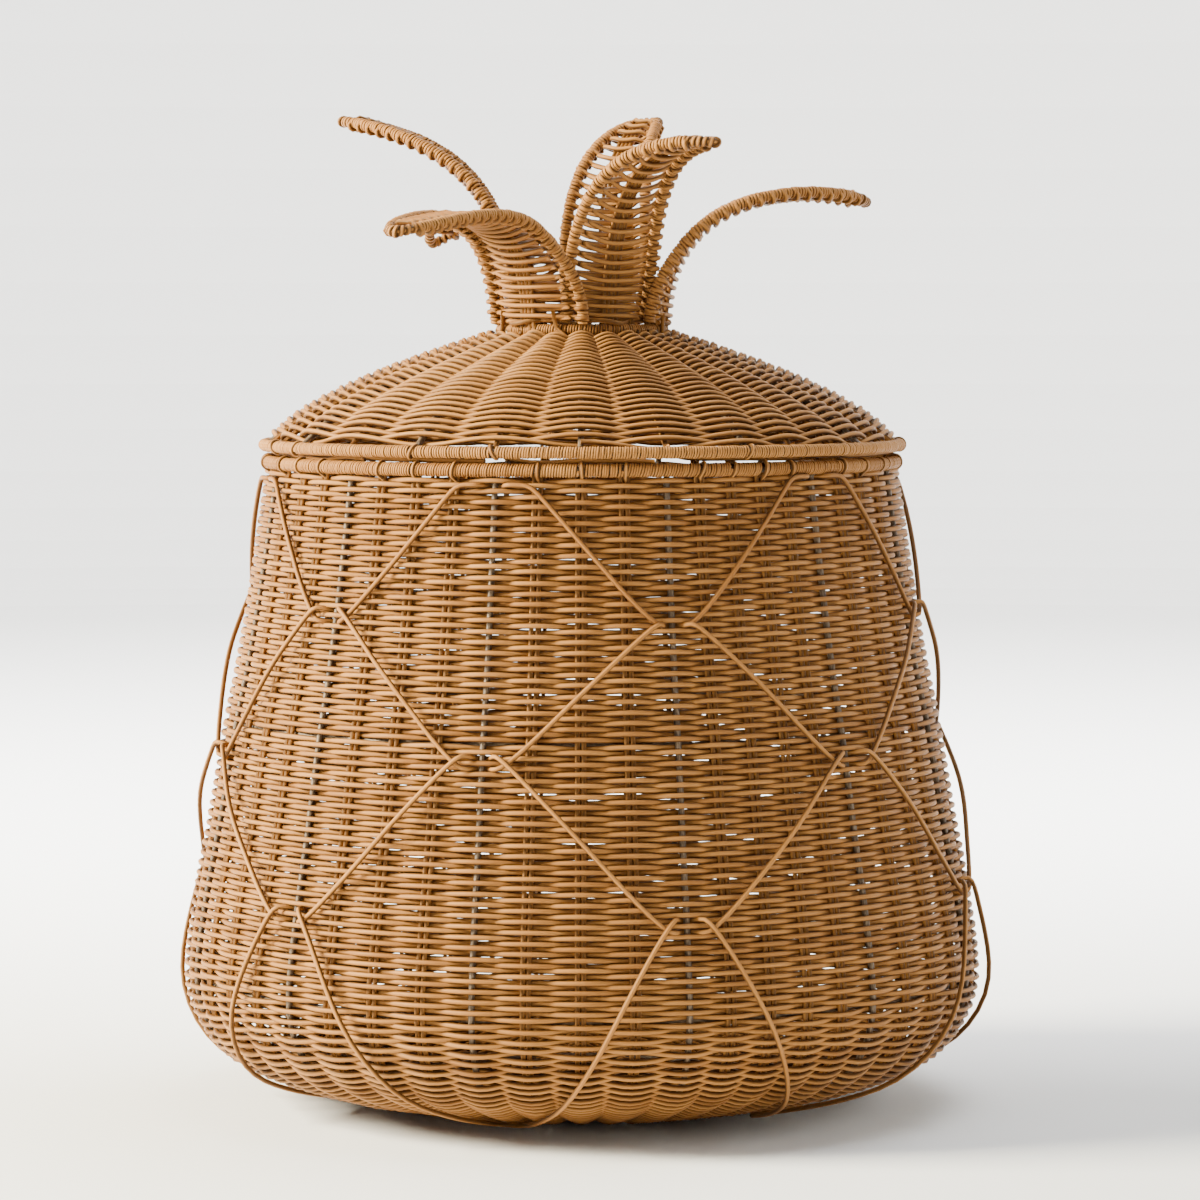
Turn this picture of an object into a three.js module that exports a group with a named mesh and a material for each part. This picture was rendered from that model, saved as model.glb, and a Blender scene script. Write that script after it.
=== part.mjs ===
// A pineapple-shaped lidded basket of natural rattan on a welded steel wire frame.
// Millimetres, Z up. The origin is the middle of the flat base, and the front faces -Y.
// Angles round the basket are in degrees from the front, growing towards +X.
import * as THREE from 'three';

// Driving dimensions of the materials
const clearance = 0.3;              // gap kept between pieces that touch
const weaverDiameter = 2.5;         // round cane that is woven, and the trellis canes
const rodDiameter = 3;              // steel uprights, lid ribs and inner hoops
const rimRodDiameter = 3.5;         // steel rim hoops and crown ring
const rimWrapDiameter = 6.5;        // over the fine cane wrapped round the basket rim
const lidWrapDiameter = 6;          // over the wrapping of the lid rim
const crownWrapDiameter = 6;        // over the wrapping of the crown ring

// Driving dimensions of the basket
const bellyRadius = 200;            // widest part of the weave
const bellyHeight = 70;
const rimOuterRadius = 159.5;       // outside of the wrapped rim
const rimHeight = 319.6;            // middle of the rim rod
const shoulderRadius = 170;
const shoulderHeight = 240;
const waistRadius = 179.5;          // at the middle hoop
const waistHeight = 193;
const hipRadius = 191;
const hipHeight = 126;
const haunchRadius = 186;           // below the belly, where the weave turns under
const haunchHeight = 31.5;
const heelRadius = 146;             // near the floor, where the bowl runs in to its flat base
const heelHeight = 11;
const footRadius = 84;              // edge of the flat base
const lowHoopHeight = 65.7;
const uprightCount = 12;
const firstUpright = 15;            // degrees
const stakesPerBay = 4;             // one upright and three pairs of canes
const crowdedBays = [0];            // bays with one more pair, which makes 49 stakes in all
const restLoopCount = 6;            // raised stake loops on the rim that carry the lid
const restLoopWidth = 3;            // along the rim
const lidGap = 2.1;                 // daylight between the two wrapped rims

// Driving dimensions of the trellis laid over the basket
const trellisRows = [313, 249, 182, 111];  // heights of its rows of crossings
const trellisFootRadius = 122;      // where the last arches turn under the basket
const trellisPeriods = 6;
const firstTrellisTop = -15;        // degrees
const crossingOverlap = 5;          // height between the two canes that hook at a crossing
const archDegrees = 21.6;           // 0 is a sharp zigzag, more is rounder
const trellisBow = 2;               // how far a cane bows off the weave between crossings

// Driving dimensions of the lid
const lidOverhang = 1.7;            // how far the lid rim stands out past the basket rim
const lidSeatHeight = 4;            // from the middle of the lid rim rod up to the edge of the weave
const domeShoulderRadius = 131;
const domeShoulderRise = 24.5;      // above the middle of the lid rim rod
const domeUpperRadius = 88;
const domeUpperRise = 43;
const domeTopRise = 58;             // where the weave meets the crown ring
const crownRadius = 40;             // middle of the crown ring rod
const crownRise = 57;               // above the middle of the lid rim rod
const lidRibCount = 12;
const ribsPerBay = 2;               // one steel rib and one cane
const crowdedLidBays = [1, 2, 3, 7, 9];  // bays with one more cane, which makes 29 ribs in all

// Driving dimensions of the leaves
const leafWrapDiameter = 6;         // over the wrapping of a leaf frame
const leafWebThickness = 4;
const midribWidth = 9;              // four canes side by side
const leafHalfWidth = 22;           // where the blade has settled, past its foot
const settledAlongLeaf = 0.32;      // share of the leaf's length
const leafCup = 0.15;               // how far the edges lift, as a share of the half width
const tipPower = 0.8;               // lower is a blunter tip
const midribShare = 0.42;           // flat middle of the web that the midrib lies on
const leafSeatOffset = 3.3;         // every other leaf stands on the outside of the crown ring
// Each leaf was bent by hand: its place round the crown ring and how far its tip turns sideways, in
// degrees, half its width at the ring, the rise of its upright part, then the reach and height of
// its tip, and the run and slope of the part that curls over to it.
const leaves = [
  { name: 'a', azimuth: -88, turn: -22, base: 18, rise: 62, reach: 130, height: 102, run: 70, slope: 10 },
  { name: 'b', azimuth: -39, turn: 6, base: 28, rise: 70, reach: 160, height: 43, run: 45, slope: -3 },
  { name: 'e', azimuth: 23, turn: 16, base: 21, rise: 21, reach: 104, height: 87, run: 70, slope: -1 },
  { name: 'f', azimuth: 87, turn: 22, base: 26, rise: 56, reach: 153, height: 61, run: 61, slope: -8 },
  { name: 'd', azimuth: 159, turn: -5, base: 18, rise: 18, reach: 85, height: 103, run: 70, slope: 11 },
  { name: 'c', azimuth: -149, turn: 3, base: 25, rise: 30, reach: 140, height: 41, run: 52, slope: -40 },
];

// Facets of the model
const turnSteps = 48;               // round the basket and the lid
const rodSides = 5;
const wallBands = 3;                // on each side of the middle hoop
const bowlBands = 5;
const domeBands = 4;
const uprightEndShare = 0.05;       // of the lowest band, from the edge of the base to the rod's end
const frameStations = 9;             // along one side of a leaf
const frameSteps = 24;
const webStations = [0, 0.1, 0.22, 0.36, 0.5, 0.63, 0.75, 0.86];  // along a leaf

// Materials, with the colours of the real finishes
const cane = new THREE.MeshStandardMaterial({ color: 0xc9965f, roughness: 0.62, metalness: 0 });
const paleCane = new THREE.MeshStandardMaterial({ color: 0xd2a26c, roughness: 0.55, metalness: 0 });
const steel = new THREE.MeshStandardMaterial({ color: 0x6e6152, roughness: 0.4, metalness: 0.85 });

const basket = new THREE.Group();
const lid = new THREE.Group();

// The weave is one layer of weavers over the rods. A rod's middle lies at rodDepth below its outer
// face, and the hoops lie inside the rods.
const shellThickness = weaverDiameter + rodDiameter;
const rodDepth = weaverDiameter + rodDiameter / 2;
const hoopDepth = shellThickness + clearance + rodDiameter / 2;
// Halfway between two stakes the weavers change sides, and their outer face lies this much deeper.
const fluteDepth = rodDepth - weaverDiameter / 2;

function addPiece(parent, name, geometry, material) {
  const piece = new THREE.Mesh(geometry, material.clone());
  piece.name = name;
  parent.add(piece);
  return piece;
}

// A point at a distance from the axis, at an angle from the front, at a height
function around(radius, degrees, height) {
  const angle = THREE.MathUtils.degToRad(degrees);
  return new THREE.Vector3(radius * Math.sin(angle), -radius * Math.cos(angle), height);
}

// Makes an indexed solid from points and triangles, with its faces turned outwards
function solid(points, triangles) {
  let volume = 0;
  for (const [a, b, c] of triangles) {
    volume += points[a].dot(new THREE.Vector3().crossVectors(points[b], points[c]));
  }
  const faces = volume < 0 ? triangles.map(([a, b, c]) => [a, c, b]) : triangles;
  const geometry = new THREE.BufferGeometry();
  geometry.setAttribute('position', new THREE.Float32BufferAttribute(points.flatMap((p) => p.toArray()), 3));
  geometry.setIndex(faces.flat());
  geometry.computeVertexNormals();
  return geometry;
}

// Joins sections of equal point count into one solid, as a closed loop or with flat ends
function loft(sections, closed) {
  const count = sections[0].length;
  const triangles = [];
  const spans = closed ? sections.length : sections.length - 1;
  for (let i = 0; i < spans; i++) {
    const here = i * count;
    const next = ((i + 1) % sections.length) * count;
    for (let k = 0; k < count; k++) {
      const after = (k + 1) % count;
      triangles.push([here + k, next + k, next + after], [here + k, next + after, here + after]);
    }
  }
  if (!closed) {
    const last = (sections.length - 1) * count;
    for (let k = 1; k < count - 1; k++) {
      triangles.push([0, k, k + 1], [last, last + k + 1, last + k]);
    }
  }
  return solid(sections.flat(), triangles);
}

// Corners of a round section in the plane of two unit vectors
function roundSection(centre, radius, sides, across, up) {
  return Array.from({ length: sides }, (_, k) => {
    const angle = (2 * Math.PI * k) / sides;
    return centre.clone()
      .addScaledVector(across, radius * Math.cos(angle))
      .addScaledVector(up, radius * Math.sin(angle));
  });
}

// A round rod along a line of points
function rod(points, diameter, steps, sides) {
  const outline = new THREE.Shape(
    Array.from({ length: sides }, (_, k) => {
      const angle = (2 * Math.PI * k) / sides;
      return new THREE.Vector2(diameter / 2 * Math.cos(angle), diameter / 2 * Math.sin(angle));
    }),
  );
  const extrudePath = new THREE.CatmullRomCurve3(points);
  return new THREE.ExtrudeGeometry(outline, { steps, extrudePath, bevelEnabled: false });
}

// A round rod that lies in one plane through the axis, through places in radius and height
function rodInPlane(places, degrees, diameter) {
  const sideways = around(1, degrees + 90, 0);
  const line = places.map((place) => around(place.x, degrees, place.y));
  const sections = line.map((point, i) => {
    const before = line[Math.max(i - 1, 0)];
    const after = line[Math.min(i + 1, line.length - 1)];
    const tangent = after.clone().sub(before).normalize();
    const outwardsHere = new THREE.Vector3().crossVectors(sideways, tangent);
    return roundSection(point, diameter / 2, rodSides, outwardsHere, sideways);
  });
  return loft(sections, false);
}

// A ring of round rod about the axis
function hoop(radius, height, diameter, steps = turnSteps) {
  const half = diameter / 2;
  const section = Array.from({ length: rodSides + 1 }, (_, k) => {
    const angle = (2 * Math.PI * (k % rodSides)) / rodSides;
    return new THREE.Vector2(radius + half * Math.cos(angle), height + half * Math.sin(angle));
  });
  return new THREE.LatheGeometry(section, steps).rotateX(Math.PI / 2);
}

// The fine cane wrapped round a hoop. Its section is a C, open towards the rods that reach the hoop,
// and loops raises it where a thicker cane is folded over.
function wrapping(radius, height, outerDiameter, innerDiameter, openDirection, loops, steps = turnSteps) {
  const outerPoints = 6;
  const innerPoints = 5;
  const freeBore = innerDiameter / 2 + clearance;
  const halfOpening = Math.asin(Math.min(0.95, (rodDiameter / 2 + clearance) / freeBore));
  const bore = freeBore / Math.cos((Math.PI - halfOpening) / (innerPoints - 1));
  const arc = (count, size) => Array.from({ length: count }, (_, k) => {
    const angle = openDirection + halfOpening + (2 * Math.PI - 2 * halfOpening) * k / (count - 1);
    return [size * Math.cos(angle), size * Math.sin(angle)];
  });
  const stations = Array.from({ length: steps }, (_, k) => [360 * k / steps, 0]);
  for (const { at, rise } of loops) {
    const half = THREE.MathUtils.radToDeg(restLoopWidth / 2 / radius);
    const shoulder = half * 1.3;
    stations.push([at - shoulder, 0], [at - half, rise], [at + half, rise], [at + shoulder, 0]);
  }
  stations.sort((a, b) => a[0] - b[0]);
  const sections = stations.map(([degrees, rise]) => {
    const outer = arc(outerPoints, outerDiameter / 2).map(([x, z]) => [x, z > 0 ? z + rise : z]);
    const inner = arc(innerPoints, bore).reverse();
    return [...outer, ...inner].map(([x, z]) => around(radius + x, degrees, height + z));
  });
  return loft(sections, true);
}

// The outline of the weave as a curve in radius and height, with its points and outward normals
class Outline {
  constructor(stations) {
    this.curve = new THREE.SplineCurve(stations.map(([radius, height]) => new THREE.Vector2(radius, height)));
  }

  // A point at a share of the curve and a depth below the outer face
  at(share, depth, normal = this.normal(share)) {
    return this.curve.getPoint(share).addScaledVector(normal, -depth);
  }

  normal(share) {
    const tangent = this.curve.getTangent(share);
    return new THREE.Vector2(tangent.y, -tangent.x);
  }

  // The share of the curve where a value of its points is reached, between two shares
  find(value, axis, low, high) {
    for (let i = 0; i < 40; i++) {
      const middle = (low + high) / 2;
      if ((this.curve.getPoint(middle)[axis] < value) === (this.curve.getPoint(low)[axis] < value)) {
        low = middle;
      } else {
        high = middle;
      }
    }
    return low;
  }
}

// Stations along an outline, with the normals that the shell and what lies on it share. startNormal
// and endNormal turn the two edges of the shell square to what they meet.
function stationsAlong(outline, shares, startNormal, endNormal) {
  return shares.map((share, i) => {
    const normal = i === 0 ? startNormal : i === shares.length - 1 ? endNormal : outline.normal(share);
    return { share, normal };
  });
}

// Equal steps between two shares of an outline, both of them included
function evenShares(from, to, bands) {
  return Array.from({ length: bands + 1 }, (_, i) => THREE.MathUtils.lerp(from, to, i / bands));
}

// A place over the flat bands between stations, at a share of the outline and a depth below their face
function overStations(outline, stations, share, depth) {
  const next = Math.max(1, stations.findIndex((station) => station.share >= share));
  const [low, high] = [stations[next - 1], stations[next]];
  const along = (share - low.share) / (high.share - low.share);
  return outline.at(low.share, depth, low.normal).lerp(outline.at(high.share, depth, high.normal), along);
}

// A woven shell through stations of an outline. Its outer face is ridged over the stakes, whose
// number stakesIn gives for each bay between two rods, and its inner face has a groove for each rod.
function wovenShell(outline, stations, grooveCount, firstGroove, stakesIn) {
  const bands = stations.length - 1;
  const grooveDepth = weaverDiameter - clearance;
  const grooveHalf = rodDiameter / 2 + clearance;
  const points = [];
  const triangles = [];
  const outerRings = [];
  const innerRings = [];
  for (const { share, normal } of stations) {
    const ridge = outline.at(share, 0, normal);
    const flute = outline.at(share, fluteDepth, normal);
    const back = outline.at(share, shellThickness, normal);
    const bottom = outline.at(share, grooveDepth, normal);
    const outer = [];
    const inner = [];
    const put = (ring, place, degrees) => {
      ring.push({ index: points.length, degrees });
      points.push(around(place.x, degrees, place.y));
    };
    for (let g = 0; g < grooveCount; g++) {
      const middle = firstGroove + g * 360 / grooveCount;
      const backHalf = THREE.MathUtils.radToDeg(Math.asin(grooveHalf / back.x));
      const bottomHalf = THREE.MathUtils.radToDeg(Math.asin(grooveHalf / bottom.x));
      put(inner, back, middle - backHalf);
      put(inner, bottom, middle - bottomHalf);
      put(inner, bottom, middle + bottomHalf);
      put(inner, back, middle + backHalf);
      const pitch = 360 / grooveCount / stakesIn(g);
      for (let k = 0; k < stakesIn(g); k++) {
        put(outer, ridge, middle + k * pitch);
        put(outer, flute, middle + (k + 0.5) * pitch);
        if (k > 0) put(inner, back, middle + k * pitch);
      }
    }
    outerRings.push(outer);
    innerRings.push(inner);
  }
  const band = (low, high, flip) => {
    for (let k = 0; k < low.length; k++) {
      const after = (k + 1) % low.length;
      const [a, b, c, d] = [low[k].index, low[after].index, high[after].index, high[k].index];
      triangles.push(flip ? [a, c, b] : [a, b, c], flip ? [a, d, c] : [a, c, d]);
    }
  };
  for (let i = 0; i < bands; i++) {
    band(outerRings[i], outerRings[i + 1], false);
    band(innerRings[i], innerRings[i + 1], true);
  }
  // The flat edge between the outer ring and the inner ring, joined in the order of their angles
  const edge = (outer, inner, flip) => {
    const place = (ring, k) => ring[k % ring.length].index;
    const degreesAt = (ring, k) => ring[k % ring.length].degrees + 360 * Math.floor(k / ring.length);
    let o = 0;
    let n = 0;
    while (o < outer.length || n < inner.length) {
      const outerIsNext = n === inner.length
        || (o < outer.length && degreesAt(outer, o + 1) <= degreesAt(inner, n + 1));
      const corner = outerIsNext ? place(outer, o + 1) : place(inner, n + 1);
      const [a, b] = [place(outer, o), place(inner, n)];
      triangles.push(flip ? [a, b, corner] : [a, corner, b]);
      if (outerIsNext) o += 1;
      else n += 1;
    }
  };
  edge(outerRings[0], innerRings[0], true);
  edge(outerRings[bands], innerRings[bands], false);
  return solid(points, triangles);
}

const upwards = new THREE.Vector2(0, 1);
const downwards = new THREE.Vector2(0, -1);
const outwards = new THREE.Vector2(1, 0);

// The woven wall and bowl of the basket
const rimRadius = rimOuterRadius - rimWrapDiameter / 2;
const wallTop = rimHeight - rimWrapDiameter / 2 - clearance;
const wallTopRadius = rimOuterRadius - clearance * 3;
const bodyOutline = new Outline([
  [footRadius + clearance, 0],
  [heelRadius, heelHeight],
  [haunchRadius, haunchHeight],
  [bellyRadius, bellyHeight],
  [hipRadius, hipHeight],
  [waistRadius, waistHeight],
  [shoulderRadius, shoulderHeight],
  [wallTopRadius, wallTop],
]);
const lowShare = bodyOutline.find(lowHoopHeight, 'y', 0, 1);
const midShare = bodyOutline.find(waistHeight, 'y', lowShare, 1);
const seamShare = clearance / bodyOutline.curve.getLength() / 2;
const bowlShares = evenShares(0, lowShare - seamShare, bowlBands);
const bowlStations = stationsAlong(bodyOutline, bowlShares, downwards, outwards);
const wallShares = [
  ...evenShares(lowShare + seamShare, midShare, wallBands),
  ...evenShares(midShare, 1, wallBands).slice(1),
];
const wallStations = stationsAlong(bodyOutline, wallShares, outwards, outwards);
const bodyStations = [...bowlStations, ...wallStations];
const stakesIn = (bay) => stakesPerBay + (crowdedBays.includes(bay) ? 1 : 0);
const wall = wovenShell(bodyOutline, wallStations, uprightCount, firstUpright, stakesIn);
const bowl = wovenShell(bodyOutline, bowlStations, uprightCount, firstUpright, stakesIn);
addPiece(basket, 'woven_wall', wall, cane);
addPiece(basket, 'woven_bowl', bowl, cane);
const baseSection = [
  new THREE.Vector2(0, 0),
  new THREE.Vector2(footRadius, 0),
  new THREE.Vector2(footRadius, shellThickness),
  new THREE.Vector2(0, shellThickness),
];
addPiece(basket, 'woven_base', new THREE.LatheGeometry(baseSection, turnSteps).rotateX(Math.PI / 2), cane);

// The welded steel frame of the basket
addPiece(basket, 'rim_hoop', hoop(rimRadius, rimHeight, rimRodDiameter), steel);
const middlePlace = bodyOutline.at(midShare, hoopDepth);
const lowPlace = bodyOutline.at(lowShare, hoopDepth, outwards);
addPiece(basket, 'middle_hoop', hoop(middlePlace.x, middlePlace.y, rodDiameter), steel);
addPiece(basket, 'low_hoop', hoop(lowPlace.x, lowPlace.y, rodDiameter), steel);
addPiece(basket, 'base_ring', hoop(
  footRadius + clearance / 2, shellThickness + clearance + rodDiameter / 2, rodDiameter, turnSteps / 2,
), steel);
const rimCentre = new THREE.Vector2(rimRadius, rimHeight);
const uprightLine = bodyStations.map(({ share, normal }) => (
  bodyOutline.at(share, rodDepth, normal)
));
uprightLine[0].lerp(uprightLine[1], uprightEndShare);
const uprightTop = uprightLine[uprightLine.length - 1];
const towardsUpright = uprightTop.clone().sub(rimCentre).normalize();
uprightLine.push(rimCentre.clone().addScaledVector(towardsUpright, rimRodDiameter / 2 + clearance));
for (let i = 0; i < uprightCount; i++) {
  const name = `upright_${String(i + 1).padStart(2, '0')}`;
  const degrees = firstUpright + i * 360 / uprightCount;
  addPiece(basket, name, rodInPlane(uprightLine, degrees, rodDiameter), steel);
}

// The wrapped rim of the basket, with the raised loops that the lid rests on
const restLoops = Array.from({ length: restLoopCount }, (_, k) => (
  { at: 360 * (k + 0.5) / restLoopCount + firstUpright / 4, rise: lidGap - clearance }
));
addPiece(basket, 'rim_wrapping', wrapping(
  rimRadius, rimHeight, rimWrapDiameter, rimRodDiameter, towardsUpright.angle(), restLoops,
), paleCane);

// The trellis: closed zigzag canes. At each crossing the lower cane's arch hooks over the upper
// cane's bend, a cane's thickness further out. Between crossings a cane bows off the weave, and the
// last cane turns under the basket.
const rowShares = trellisRows.map((height) => bodyOutline.find(height, 'y', lowShare, 1));
rowShares.push(bodyOutline.find(trellisFootRadius, 'x', 0, lowShare / 2));
const cornerAngle = THREE.MathUtils.degToRad(archDegrees);
const halfOverlap = crossingOverlap / 2 / bodyOutline.curve.getLength();
const cornerSamples = [0, 0.09, 0.22];
const [hookStart, hookEnd] = [0.3, 0.75];  // where a cane comes back to the weave, as shares of its drop
for (let row = 0; row < rowShares.length - 1; row++) {
  const hooksAbove = row > 0;
  const turnsUnder = row === rowShares.length - 2;
  const topShare = rowShares[row] + (hooksAbove ? halfOverlap : 0);
  const bottomShare = rowShares[row + 1] - (turnsUnder ? 0 : halfOverlap);
  const straightSteps = turnsUnder ? 5 : 2;
  const quarter = cornerSamples[cornerSamples.length - 1];
  const straight = Array.from({ length: straightSteps - 1 }, (_, k) => (
    quarter + (1 - 2 * quarter) * (k + 1) / straightSteps
  ));
  const down = [...cornerSamples, ...straight, ...cornerSamples.map((x) => 1 - x).reverse()];
  const samples = [...down, ...down.slice(1, -1).map((x) => 2 - x).reverse()];
  const line = [];
  const degreesAt = [];
  for (let period = 0; period < trellisPeriods; period++) {
    for (const x of samples) {
      const wave = Math.acos(Math.cos(cornerAngle) * Math.cos(Math.PI * x));
      const drop = (wave - cornerAngle) / (Math.PI - 2 * cornerAngle);
      const fade = 1 - THREE.MathUtils.smoothstep(drop, hookStart, hookEnd);
      const hook = hooksAbove ? (weaverDiameter + clearance) * fade : 0;
      const bow = trellisBow * Math.sin(Math.PI * drop) ** 2;
      const stand = clearance + weaverDiameter / 2 + hook + bow;
      const share = THREE.MathUtils.lerp(topShare, bottomShare, drop);
      const place = overStations(bodyOutline, bodyStations, share, -stand);
      const shift = row % 2 === 0 ? 0 : 180 / trellisPeriods;
      degreesAt.push(firstTrellisTop + shift + (period + x / 2) * 360 / trellisPeriods);
      line.push(around(place.x, degreesAt[degreesAt.length - 1], place.y));
    }
  }
  const sections = line.map((point, i) => {
    const before = line[(i + line.length - 1) % line.length];
    const after = line[(i + 1) % line.length];
    const tangent = after.clone().sub(before).normalize();
    const normal = around(1, degreesAt[i], 0).projectOnPlane(tangent).normalize();
    const side = new THREE.Vector3().crossVectors(tangent, normal);
    return roundSection(point, weaverDiameter / 2, rodSides, normal, side);
  });
  addPiece(basket, `trellis_cane_${row + 1}`, loft(sections, true), paleCane);
}

// The lid: rim, woven dome and steel ribs
const lidRimHeight = rimHeight + rimWrapDiameter / 2 + lidGap + lidWrapDiameter / 2;
const lidRimRadius = rimOuterRadius + lidOverhang - lidWrapDiameter / 2;
const crownHeight = lidRimHeight + crownRise;
const domeEdgeRadius = lidRimRadius + clearance;
const domeTopRadius = crownRadius + crownWrapDiameter / 2 + clearance * 2;
const domeOutline = new Outline([
  [domeEdgeRadius, lidRimHeight + lidSeatHeight],
  [domeShoulderRadius, lidRimHeight + domeShoulderRise],
  [domeUpperRadius, lidRimHeight + domeUpperRise],
  [domeTopRadius, lidRimHeight + domeTopRise],
]);
const domeEdgeNormal = domeOutline.normal(0).add(outwards).normalize();
const domeStations = stationsAlong(domeOutline, evenShares(0, 1, domeBands), domeEdgeNormal, upwards);
const ribsIn = (bay) => ribsPerBay + (crowdedLidBays.includes(bay) ? 1 : 0);
addPiece(lid, 'lid_weave', wovenShell(domeOutline, domeStations, lidRibCount, 0, ribsIn), cane);
addPiece(lid, 'lid_rim_hoop', hoop(lidRimRadius, lidRimHeight, rimRodDiameter), steel);
const crownSteps = turnSteps / 2;
addPiece(lid, 'crown_ring', hoop(crownRadius, crownHeight, rimRodDiameter, crownSteps), steel);
const lidCentre = new THREE.Vector2(lidRimRadius, lidRimHeight);
const crownCentre = new THREE.Vector2(crownRadius, crownHeight);
const ribLine = domeStations.map(({ share, normal }) => domeOutline.at(share, rodDepth, normal));
const towardsRib = ribLine[0].clone().sub(lidCentre).normalize();
const towardsCrownRib = ribLine[domeBands].clone().sub(crownCentre).normalize();
ribLine.unshift(lidCentre.clone().addScaledVector(towardsRib, rimRodDiameter / 2 + clearance));
ribLine.push(crownCentre.clone().addScaledVector(towardsCrownRib, rimRodDiameter / 2 + clearance));
for (let i = 0; i < lidRibCount; i++) {
  const name = `lid_rib_${String(i + 1).padStart(2, '0')}`;
  addPiece(lid, name, rodInPlane(ribLine, i * 360 / lidRibCount, rodDiameter), steel);
}
addPiece(lid, 'lid_rim_wrapping', wrapping(
  lidRimRadius, lidRimHeight, lidWrapDiameter, rimRodDiameter, towardsRib.angle(), [],
), paleCane);
addPiece(lid, 'crown_wrapping', wrapping(
  crownRadius, crownHeight, crownWrapDiameter, rimRodDiameter, towardsCrownRib.angle(), [], crownSteps,
), paleCane);

// A leaf: a wrapped wire frame, a woven web inside it and a midrib of canes on the web.
// Its spine stands up from the crown ring and curls over to its tip, and its edges cup upwards.
class Leaf {
  constructor(bend, seatRadius) {
    this.bend = bend;
    this.seatRadius = seatRadius;
    const start = crownHeight + crownWrapDiameter / 2 + clearance;
    const slope = THREE.MathUtils.degToRad(bend.slope);
    const tip = new THREE.Vector2(bend.reach, start + bend.height);
    const curl = new THREE.Vector2(bend.run * Math.cos(slope), bend.run * Math.sin(slope));
    this.spine = new THREE.CubicBezierCurve(
      new THREE.Vector2(seatRadius, start),
      new THREE.Vector2(seatRadius, start + bend.rise),
      tip.clone().sub(curl),
      tip,
    );
  }

  // Half the width between the middles of the frame's two sides
  half(along) {
    if (along < settledAlongLeaf) {
      const rise = (1 - Math.cos(Math.PI * along / settledAlongLeaf)) / 2;
      return THREE.MathUtils.lerp(this.bend.base, leafHalfWidth, rise);
    }
    const share = (along - settledAlongLeaf) / (1 - settledAlongLeaf);
    return leafHalfWidth * Math.pow(1 - share * share, tipPower);
  }

  // A place along the leaf, sideways from its spine and above its face, which cups as at cupAt
  point(along, sideways, above, cupAt = sideways) {
    const place = this.spine.getPoint(along);
    const tangent = this.spine.getTangent(along);
    const onRing = this.seatRadius - Math.sqrt(this.seatRadius ** 2 - Math.min(cupAt, this.seatRadius) ** 2);
    const onLeaf = leafCup * cupAt ** 2 / Math.max(this.half(along), leafWrapDiameter);
    const lift = above + THREE.MathUtils.lerp(onRing, onLeaf, THREE.MathUtils.smoothstep(along, 0, 0.3));
    const azimuth = this.bend.azimuth + this.bend.turn * along * along;
    return around(place.x - tangent.y * lift, azimuth, place.y + tangent.x * lift)
      .add(around(sideways, azimuth + 90, 0));
  }

  // The wrapped wire: up one side of the leaf, round its tip and down the other
  frame() {
    const upOneSide = Array.from({ length: frameStations }, (_, k) => k / frameStations);
    const line = [
      ...upOneSide.map((along) => this.point(along, -this.half(along), 0)),
      this.point(1, 0, 0),
      ...upOneSide.reverse().map((along) => this.point(along, this.half(along), 0)),
    ];
    return rod(line, leafWrapDiameter, frameSteps, rodSides);
  }

  // Half the width of the web, which lies just inside the frame
  webHalf(along) {
    return this.half(along) - leafWrapDiameter / 2 - clearance * 3;
  }

  web() {
    const across = [-1, -midribShare, midribShare, 1];
    const sections = webStations.map((along) => {
      const face = (above) => across.map((side) => this.point(along, side * this.webHalf(along), above));
      return [...face(leafWebThickness / 2), ...face(-leafWebThickness / 2).reverse()];
    });
    return loft(sections, false);
  }

  midrib() {
    const low = leafWebThickness / 2 + clearance;
    const sections = webStations.map((along) => {
      const corner = (side, above) => (
        this.point(along, side * midribWidth / 2, above, midribShare * this.webHalf(along))
      );
      const top = low + weaverDiameter;
      return [corner(-1, low), corner(1, low), corner(1, top), corner(-1, top)];
    });
    return loft(sections, false);
  }
}

leaves.forEach((bend, i) => {
  const leaf = new Leaf(bend, crownRadius + (i % 2 === 0 ? -leafSeatOffset : leafSeatOffset));
  addPiece(lid, `leaf_${bend.name}_frame`, leaf.frame(), paleCane);
  addPiece(lid, `leaf_${bend.name}_web`, leaf.web(), cane);
  addPiece(lid, `leaf_${bend.name}_midrib`, leaf.midrib(), paleCane);
});

export default new THREE.Group().add(basket, lid);
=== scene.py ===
import math

import bpy
import numpy as np
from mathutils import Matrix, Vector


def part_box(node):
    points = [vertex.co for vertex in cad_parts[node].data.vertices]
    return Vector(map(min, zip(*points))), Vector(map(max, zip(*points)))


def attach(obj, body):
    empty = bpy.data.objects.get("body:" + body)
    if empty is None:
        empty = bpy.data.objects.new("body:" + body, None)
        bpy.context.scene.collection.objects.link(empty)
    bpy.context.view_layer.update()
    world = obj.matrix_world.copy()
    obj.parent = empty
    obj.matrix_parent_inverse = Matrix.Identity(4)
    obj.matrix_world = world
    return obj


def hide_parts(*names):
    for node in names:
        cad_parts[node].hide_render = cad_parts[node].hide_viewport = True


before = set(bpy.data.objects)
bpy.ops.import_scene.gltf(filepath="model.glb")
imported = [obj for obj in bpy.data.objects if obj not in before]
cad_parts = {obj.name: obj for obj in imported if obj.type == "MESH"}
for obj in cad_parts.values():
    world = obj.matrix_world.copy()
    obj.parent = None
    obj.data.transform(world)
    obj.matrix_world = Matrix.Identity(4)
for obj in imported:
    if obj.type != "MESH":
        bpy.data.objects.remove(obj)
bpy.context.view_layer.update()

# The camera stands 2.4 m off, about level with the crown of the lid, and looks slightly down on the
# basket through a long lens, as in the photograph.
camera_aside, camera_distance, camera_height = 0.009, 2.4, 0.39
camera_tilt = 3.34
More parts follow.
